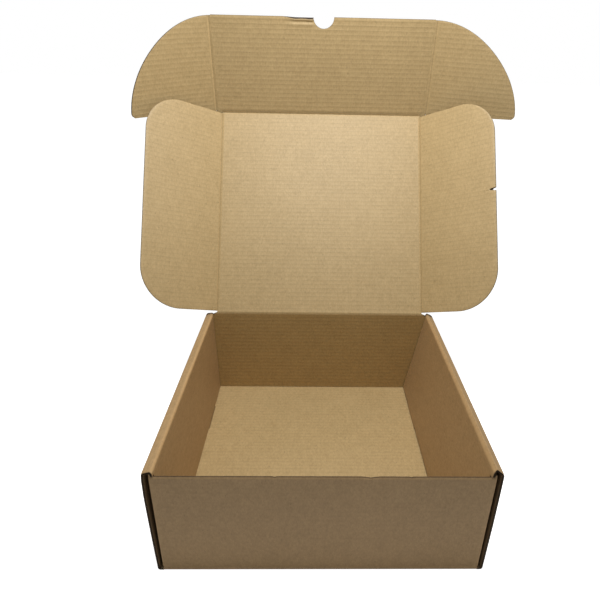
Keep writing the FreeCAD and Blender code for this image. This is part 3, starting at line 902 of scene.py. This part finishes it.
# %% Rolled sides
FLOOR_TURN = FLOOR_END
LEFT_TAB, RIGHT_TAB = 2.7 * MM, 1.6 * MM
TAB_HALF = 26.0 * MM
SHOULDER = 2.6 * MM
SHOULDER_PER_PEAK = 0.35
ROOF_X = np.array([164.5, 166.0, 168.4, 175.5]) * MM
ROOF_RISE = (0.25, 0.5, 1.0, 0.0)
ROOF_FADE = 14.0 * MM
BULGE_HEIGHTS = np.array([0, 30, 70, 105, 128, 138]) * MM
LEFT_BULGE = np.array([-0.5, 0.2, 0.9, 1.4, 0.9, 0.0]) * MM
RIGHT_BULGE = np.array([-0.9, -0.4, 0.1, 0.2, 0.1, 0.0]) * MM
OUTER_FROM, OUTER_REACH = 172.5 * MM, 1.5 * MM


def make_rolled_side(name, side, lean, tab_depth, peaks, bulge, seed):
    """side is -1 for the left and 1 for the right. The profile is drawn for the right side.

    peaks: how far the rolled top stands up at its front and its back end.
    bulge: how far the outer wall bows outwards at each of BULGE_HEIGHTS."""
    roll_end = ROLL_IN - math.tan(lean) * BOARD + BOARD / math.cos(lean)
    down = np.array([-math.sin(lean), -math.cos(lean)])
    face = np.array([-math.cos(lean), math.sin(lean)])
    pivot, centre = np.array([ROLL_IN, SIDE_TOP]), np.array([roll_end, SIDE_TOP - BOARD])
    panel = ((pivot + PANEL_DROP * down) - (centre + BOARD * face)) @ down
    steps = [("run", SIDE_WALL_IN - FLOOR_TURN), ("bend", QUARTER), ("run", SIDE_TOP - 2 * BOARD),
             ("bend", QUARTER), ("run", SIDE_WALL_IN - roll_end), ("bend", QUARTER - lean),
             ("run", panel + tab_depth)]
    shape, ends = folded_profile((FLOOR_TURN, HALF), 0.0, steps, 1)
    foot, over = ends[-1] - tab_depth, ends[5]
    shoulder = over + SHOULDER + SHOULDER_PER_PEAK * peaks[0]
    near_folds = close_to_folds(steps, ends).clip(0, ends[-1])
    columns = sorted_places(near_folds, [0, over, shoulder, foot, ends[-1]],
                            np.linspace(ends[1] + CLEAR_OF_FOLD, ends[2] - CLEAR_OF_FOLD, 7),
                            np.linspace(over + CLEAR_OF_FOLD, foot - 6 * MM, 8),
                            foot - np.array([3.0, 1.0]) * MM, least=0.12 * MM)
    tab_v = [sign * (SLOT_MIDDLE + part * TAB_HALF) for sign in (-1, 1) for part in (-1, 1)]
    fine = np.concatenate([FINE_STEPS - SIDE_LONG, SIDE_LONG - FINE_STEPS, [-PANEL_LONG, PANEL_LONG], tab_v])
    rows = sorted_places(flute_rows(-SIDE_LONG, SIDE_LONG, fine, 4), [-PANEL_LONG, PANEL_LONG], tab_v)
    u, v = np.meshgrid(columns, rows)

    def solid(at_u, at_v):
        kept = (at_u < np.where(at_v < 0, shoulder, over)) | (np.abs(at_v) < PANEL_LONG)
        return kept & ((at_u < foot) | (np.abs(np.abs(at_v) - SLOT_MIDDLE) < TAB_HALF))

    def form(at_u, at_v, w):
        x, z = shape(at_u, w)
        bow = ramp(x, OUTER_FROM, OUTER_REACH) * np.interp(z, BULGE_HEIGHTS, bulge)
        tent = np.interp(x, ROOF_X, ROOF_RISE) * bell((SIDE_TOP - z).clip(0), ROOF_FADE)
        rise = np.interp(at_v, (-SIDE_LONG, SIDE_LONG), peaks)
        return np.stack([side * (x + bow), at_v, z + rise * tent], axis=1)

    return make_board(name, u, v, form, joined_sides=("left",), keep=solid,
                      folds=lambda at_u, at_v: from_folds(at_u, steps, ends), sway=0.0, seed=seed,
                      ridge=0.8, papers=side_papers)


left_side = make_rolled_side("left_side", -1, LEFT_PANEL_LEAN, LEFT_TAB, (1.8 * MM, 0.8 * MM), LEFT_BULGE, 8)
stand_on_body(left_side, "tray", "tray")
right_side = make_rolled_side("right_side", 1, RIGHT_PANEL_LEAN, RIGHT_TAB, (6.0 * MM, 3.2 * MM),
                              RIGHT_BULGE, 9)
stand_on_body(right_side, "tray", "tray")

# %% [markdown]
# ## Panels that turn with the lid
# The lid, its wings, the tuck flap and the ears are flat panels that hang on each other, so each
# has a small frame of its own: an origin on its fold line, the way out along the flutes, the way
# up along the fold, and the way to its inner face. A wing's frame is the lid's, swung about the
# fold line by the angle at which the wing stands in the photograph.

# %% Frames of the flaps
def swung(out, inward, fold):
    """The way out and the inner face of a flap that is folded towards the inside."""
    return out * math.cos(fold) + inward * math.sin(fold), inward * math.cos(fold) - out * math.sin(fold)


def flat_form(origin, out, up, inward, bow=0.0):
    """Places a flat panel. bow is a steady bend towards the inside, in radians per metre."""
    o, a, b, n = (np.array(vector) for vector in (origin, out, up, inward))

    def form(u, v, w):
        angle = bow * u
        if bow:
            along, lift = np.sin(angle) / bow, (1 - np.cos(angle)) / bow
        else:
            along, lift = u, np.zeros_like(u)
        along, lift = along - w * np.sin(angle), lift + w * np.cos(angle)
        return o + along[:, None] * a + v[:, None] * b + lift[:, None] * n

    return form


# %% Lid
def make_lid():
    left = lid_half - FOLD_REACH
    rows = flute_rows(FOLD_REACH, lid_long - FOLD_REACH)
    u = columns_between(np.full(len(rows), -left), np.full(len(rows), left), 12)
    form = flat_form(hinge, ACROSS, lid_up, lid_face)
    return make_board("lid", u, along_rows(rows, u), form, fold_sides=("left", "right", "low", "high"),
                      seed=11, ridge=0.6)


stand_on_body(make_lid(), "lid", "lid_panel")

# %% [markdown]
# ## The wings
# A wing has a straight rear edge with a big round corner, a straight outer edge and a slightly
# tighter round corner in front. The right wing has a torn nick in its outer edge. The outline is
# a formula for each row, so that the nick is a dip in it, and the inner liner is torn further
# back than the outer one.

# %% Wings
WING_REACH = 121.5 * MM
WING_INSET = 1.8 * MM
REAR_ROUND = 62.0 * MM
FRONT_ROUND = 55.0 * MM
NICK_AT = 179.0 * MM
NICK_HALF = 1.9 * MM
NICK_DEEP = 4.7 * MM
NICK_BLUNT = 0.6
TORN_DEEPER = 4.4 * MM
TORN_HALF = NICK_HALF + 0.5 * MM
TORN_REACH = 7.0 * MM
TORN_LIFT = 0.35 * MM


def nick_share(v, half):
    return np.clip(1 - ((v - NICK_AT) / half) ** 2, 0, 1) ** NICK_BLUNT


def wing_edge(v, nicked):
    low, high = WING_INSET, lid_long - WING_INSET
    rear = REAR_ROUND - np.clip(v - low, 0, REAR_ROUND)
    front = FRONT_ROUND - np.clip(high - v, 0, FRONT_ROUND)
    edge = WING_REACH - REAR_ROUND + np.sqrt(REAR_ROUND ** 2 - rear ** 2)
    edge = np.minimum(edge, WING_REACH - FRONT_ROUND + np.sqrt(FRONT_ROUND ** 2 - front ** 2))
    return edge - NICK_DEEP * nick_share(v, NICK_HALF) if nicked else edge


def torn_inner(u, v, w):
    """Beside the nick the inner liner is torn back further than the outer one, and lifts a little."""
    torn = nick_share(v, TORN_HALF) * bell(wing_edge(v, True) - u, TORN_REACH)
    return u - TORN_DEEPER * torn, v, w + TORN_LIFT * torn


def make_wing(name, side, fold, seed, nicked=False):
    out, inward = swung(ACROSS * side, lid_face, fold)
    low, high = WING_INSET, lid_long - WING_INSET
    nick = NICK_AT + np.linspace(-1, 1, 15) * (NICK_HALF + LEAST_STEP)
    extra = np.concatenate([low + FINE_STEPS, high - FINE_STEPS, nick if nicked else []])
    rows = flute_rows(low, high, extra)
    u = columns_between(np.full(len(rows), FOLD_REACH), wing_edge(rows, nicked), 8)
    form = flat_form(hinge + ACROSS * side * lid_half, out, lid_up, inward)
    return make_board(name, u, along_rows(rows, u), form, fold_sides=("left",), seed=seed, ridge=0.42,
                      squeezed=1.8, inner_shape=torn_inner if nicked else None)


stand_on_body(make_wing("wing_left", -1, LEFT_WING_FOLD, 13), "left_wing", "left_wing")
stand_on_body(make_wing("wing_right", 1, RIGHT_WING_FOLD, 14, nicked=True), "right_wing", "right_wing")

# %% [markdown]
# ## The tuck flap
# The tuck flap is wider than the lid, so its lower edge passes the lid's corners. A half-round
# thumb notch is cut in its free edge, and the board beside the notch is crushed and split where
# fingers pulled it, the inner liner much more than the outer one.

# %% Tuck flap
THUMB_AT = 0.4 * MM
THUMB_ROUND = 15.3 * MM
TUCK_FOOT = -1.4 * MM
CRUSH_FROM, CRUSH_TO = -63.0 * MM, -14.0 * MM
CRUSH_RISE, CRUSH_FALL = 26 * MM, 2 * MM
CRUSH_REACH = 5.0 * MM
INNER_PUSH, OUTER_PUSH = 2.9 * MM, 1.1 * MM
RIPPLES = ((1.0, 1.6, 0.7), (6.0, 2.2, -0.6), (11.0, 2.4, 0.35))
WOBBLE, WOBBLE_LENGTH = 0.12, 4.1 * MM


def thumb_gap(v):
    """Half the width of the thumb notch at each row, and a hair's breadth below it."""
    drop = np.clip(tuck_long - v, 0, THUMB_ROUND)
    return np.maximum(np.sqrt(THUMB_ROUND ** 2 - drop ** 2), 0.4 * MM)


def crushed(u):
    """One in the crushed stretch of the free edge, fading at its ends."""
    rise, fall = ramp(u, CRUSH_FROM, CRUSH_RISE), ramp(-u, -CRUSH_TO, CRUSH_FALL)
    return np.sin(rise * QUARTER) ** 2 * np.sin(fall * QUARTER) ** 2


def crushed_inner(u, v, w):
    """The inner liner is pushed down off the edge, and ripples below it."""
    depth = tuck_long - v
    ripple = sum(bell(depth - at * MM, wide * MM) * lift * MM for at, wide, lift in RIPPLES)
    share = crushed(u) * (1 + WOBBLE * np.sin(u / WOBBLE_LENGTH))
    return u, v - share * INNER_PUSH * bell(depth, CRUSH_REACH), w + share * ripple


def crushed_outer(u, v, w):
    return u, v - crushed(u) * OUTER_PUSH * bell(tuck_long - v, CRUSH_REACH), w


def make_tuck():
    turn = np.linspace(0, QUARTER, 12)
    notch_rows = np.concatenate([tuck_long - THUMB_ROUND * (1 - np.cos(turn)),
                                 tuck_long - THUMB_ROUND - FINE_STEPS,
                                 tuck_long - THUMB_ROUND * np.sin(np.linspace(0, QUARTER, 14))])
    extra = np.concatenate([[FOLD_REACH], notch_rows, tuck_long - FINE_STEPS])
    rows = flute_rows(TUCK_FOOT, tuck_long, extra)
    gap = thumb_gap(rows)
    ends = np.where(rows < FOLD_REACH, tuck_half, tuck_half - FOLD_REACH)
    corner = np.full((len(rows), 1), lid_half)
    crush = np.repeat(np.linspace(CRUSH_FROM, CRUSH_TO, 18)[None], len(rows), axis=0)
    left = columns_between(-ends, THUMB_AT - gap, 5)
    left = np.concatenate([-corner, left[:, :7], crush, left[:, -5:]], axis=1)
    left = np.sort(np.minimum(left, (THUMB_AT - gap)[:, None]), axis=1)
    right = np.sort(np.concatenate([columns_between(THUMB_AT + gap, ends, 8), corner], axis=1), axis=1)
    u = np.concatenate([left, right], axis=1)

    def solid(at_u, at_v):
        kept = (at_v < tuck_long - THUMB_ROUND) | (np.abs(at_u - THUMB_AT) > 0.3 * MM)
        return kept & ((at_v > FOLD_REACH) | (np.abs(at_u) > lid_half))

    form = flat_form(tuck_foot, ACROSS, tuck_up, tuck_face)
    return make_board("tuck", u, along_rows(rows, u), form, fold_sides=("left", "right"), keep=solid,
                      seed=17, ridge=1.4, inner_shape=crushed_inner, outer_shape=crushed_outer)


stand_on_body(make_tuck(), "tuck", "tuck_flap")

# %% [markdown]
# ## The ears
# An ear is nearly a quarter of a circle about the foot of its fold, a little flatter in the
# middle of the arc, with a lower edge that rises outwards. The left ear is bowed inwards as well
# as folded. Flat sheets look dead beside the photograph, where the free corner curls forward.

# %% Ears
EAR_INSET = 1.6 * MM
EAR_TAPER = math.tan(math.radians(3.0))
EAR_REACH = 137.4 * MM
EAR_FLAT = 4.6 * MM
EAR_CORNER = 7.0 * MM
LEFT_EAR_BOW, RIGHT_EAR_BOW = 2.2, 0.2


def ear_outline():
    """Points of the round edge and its lower corner, from the fold down to the lower edge."""
    turn = np.linspace(QUARTER, 0.03, 160)
    reach = EAR_REACH - EAR_FLAT * np.sin(2 * turn) ** 2
    u, v = reach * np.cos(turn), reach * np.sin(turn)
    room = v - (EAR_INSET + u * EAR_TAPER)
    corner = room < EAR_CORNER
    pull = EAR_CORNER - np.sqrt(np.clip(EAR_CORNER ** 2 - (EAR_CORNER - room[corner].clip(0)) ** 2, 0, None))
    u[corner] -= pull
    kept = room > LEAST_STEP
    return u[kept], v[kept]


def make_ear(name, side, fold, bow, seed):
    edge_u, edge_v = ear_outline()
    start = FOLD_REACH + 0.6 * MM
    low = EAR_INSET + start * EAR_TAPER
    high = np.interp(start, edge_u, edge_v)
    taper_end = edge_v.min()
    extra = np.concatenate([low + np.linspace(0, 1, 18) * (taper_end - low), taper_end + FINE_STEPS,
                            taper_end + np.arange(1, 7) * MM, high - FINE_STEPS,
                            high - np.array([0.9, 1.4, 2.0]) * MM])
    rows = flute_rows(low, high, extra)
    round_u = np.interp(rows, edge_v[::-1], edge_u[::-1])
    edge = np.where(rows < taper_end, np.minimum((rows - EAR_INSET) / EAR_TAPER, edge_u[-1]), round_u)
    u = columns_between(np.full(len(rows), FOLD_REACH), edge, 9)
    out, inward = swung(ACROSS * side, tuck_face, fold)
    form = flat_form(tuck_foot + ACROSS * side * tuck_half, out, tuck_up, inward, bow)
    return make_board(name, u, along_rows(rows, u), form, fold_sides=("left",), seed=seed, ridge=1.4)


stand_on_body(make_ear("ear_left", -1, LEFT_EAR_FOLD, LEFT_EAR_BOW, 19), "left_ear", "left_ear")
stand_on_body(make_ear("ear_right", 1, RIGHT_EAR_FOLD, RIGHT_EAR_BOW, 20), "right_ear", "right_ear")

# %% [markdown]
# ## The fold strips
# Where two panels meet, the board is pressed flat along a strip: a groove in the middle with two
# soft shoulders. These strips are what moves when the box is opened or shut, so each is a mesh
# of its own, and its printed line names the two bodies that it lies between. At corners a strip's
# outer half runs on as a tongue, and the hinge's lower half tapers off under the rolls.

# %% Fold strips
STRIP_ROWS = 5.5 * MM
LEAST_ROWS = 8
HALF_GROOVE = np.array([0.15, 0.4, 0.75, 1.1, 1.45, 1.8, 2.2, 2.6, 3.0]) * MM
GROOVE = np.concatenate([-HALF_GROOVE[::-1], HALF_GROOVE])
GROOVE_DEEP, GROOVE_WIDE = 0.75 * MM, 0.55 * MM
SHOULDER_DEEP, SHOULDER_AT, SHOULDER_SOFT = 0.42 * MM, 2.1 * MM, 0.13 * MM
BACK_DEEP, BACK_WIDE = 0.30 * MM, 1.4 * MM
WAVER = 0.08


def make_fold_strip(name, origin, across, along, inward, fold, start, end, bodies, seed, press, tongue=(0, 0),
                    heel=0.0):
    """press: how deep the fold is pressed, as a share of the deepest one.

    tongue: how far the outer half of the strip goes on past its start and its end.
    heel: how far the inner half tapers off past both ends."""
    rows = np.linspace(start, end, max(LEAST_ROWS, round((end - start) / STRIP_ROWS)))
    rows = np.unique(np.concatenate([[start - tongue[0]], rows, [end + tongue[1]]]))
    if heel:
        taper = np.linspace(0, heel, 9)
        rows = sorted_places(start - taper, rows, end + taper)
    u, v = np.meshgrid(GROOVE, rows)
    middle_v = quad_middles(v)
    past = np.maximum(start - middle_v, middle_v - end).clip(0)
    beyond = quad_middles(u) < -FOLD_REACH * past / heel if heel else quad_middles(u) > 0
    flat_u, flat_v = u.ravel(), v.ravel()
    draw = np.random.default_rng(seed)
    waver = np.interp(flat_v, rows, draw.normal(0, WAVER, len(rows))) * MM
    shoulder = press * SHOULDER_DEEP / (1 + np.exp((np.abs(flat_u) - SHOULDER_AT) / SHOULDER_SOFT))
    groove = press * GROOVE_DEEP * bell(flat_u - waver, GROOVE_WIDE)
    top = HALF - shoulder - groove - 0.3 * INNER_RIDGE * ramp(np.abs(flat_u), CALM_FROM, MM)
    bottom = -HALF + BACK_DEEP * bell(flat_u, BACK_WIDE)
    share = (flat_u / FOLD_REACH + 1) / 2
    angle = fold * share * share * (3 - 2 * share)
    o, a, b, n = (np.array(vector) for vector in (origin, across, along, inward))

    def form(w):
        along_u = flat_u * np.cos(angle) - w * np.sin(angle)
        lift = flat_u * np.sin(angle) + w * np.cos(angle)
        return o + along_u[:, None] * a + flat_v[:, None] * b + lift[:, None] * n

    sheets = Sheets(name)
    marks = (np.stack([flat_v, flat_u, np.full_like(flat_u, 0.01 * seed)], axis=1),
             np.minimum(flat_v - rows[0], rows[-1] - flat_v) + 0.5 * MM,
             np.abs(flat_u - waver) + (1 - press) * MM)
    quads = grid_quads(*u.shape, (past == 0) | beyond)
    sheets.add(form(top), form(bottom), quads, marks, (0, 1, 3), float(np.dot(np.cross(a, b), n)) < 0)
    piece = sheets.build(board_papers)
    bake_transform(piece)
    print("%-26s %6d triangles, from %s to %s" % (name, 2 * len(piece.data.polygons), *bodies))


WING_TONGUE = FOLD_REACH - WING_INSET
EAR_TONGUE = FOLD_REACH - EAR_INSET
EAR_STRIP_END = tuck_long - 0.8 * MM
HINGE_HEEL = 6.0 * MM
make_fold_strip("hinge_strip", hinge, UP, ACROSS, FORWARD, lid_lean, -lid_half, lid_half,
                ("tray", "lid"), 31, press=0.15, heel=HINGE_HEEL)
make_fold_strip("tuck_strip", tuck_foot, lid_up, ACROSS, lid_face, tuck_fold, -lid_half, lid_half,
                ("lid", "tuck"), 32, press=0.5)
for hand, out, fold, seed in (("left", -ACROSS, LEFT_WING_FOLD, 33), ("right", ACROSS, RIGHT_WING_FOLD, 34)):
    make_fold_strip("wing_strip_" + hand, hinge + out * lid_half, out, lid_up, lid_face, fold, FOLD_REACH,
                    lid_long - FOLD_REACH, ("lid", hand + "_wing"), seed, press=0.6,
                    tongue=(WING_TONGUE, WING_TONGUE))
for hand, out, fold, seed in (("left", -ACROSS, LEFT_EAR_FOLD, 35), ("right", ACROSS, RIGHT_EAR_FOLD, 36)):
    make_fold_strip("ear_strip_" + hand, tuck_foot + out * tuck_half, out, tuck_up, tuck_face, fold,
                    FOLD_REACH, EAR_STRIP_END, ("tuck", hand + "_ear"), seed, press=0.45,
                    tongue=(EAR_TONGUE, 0))
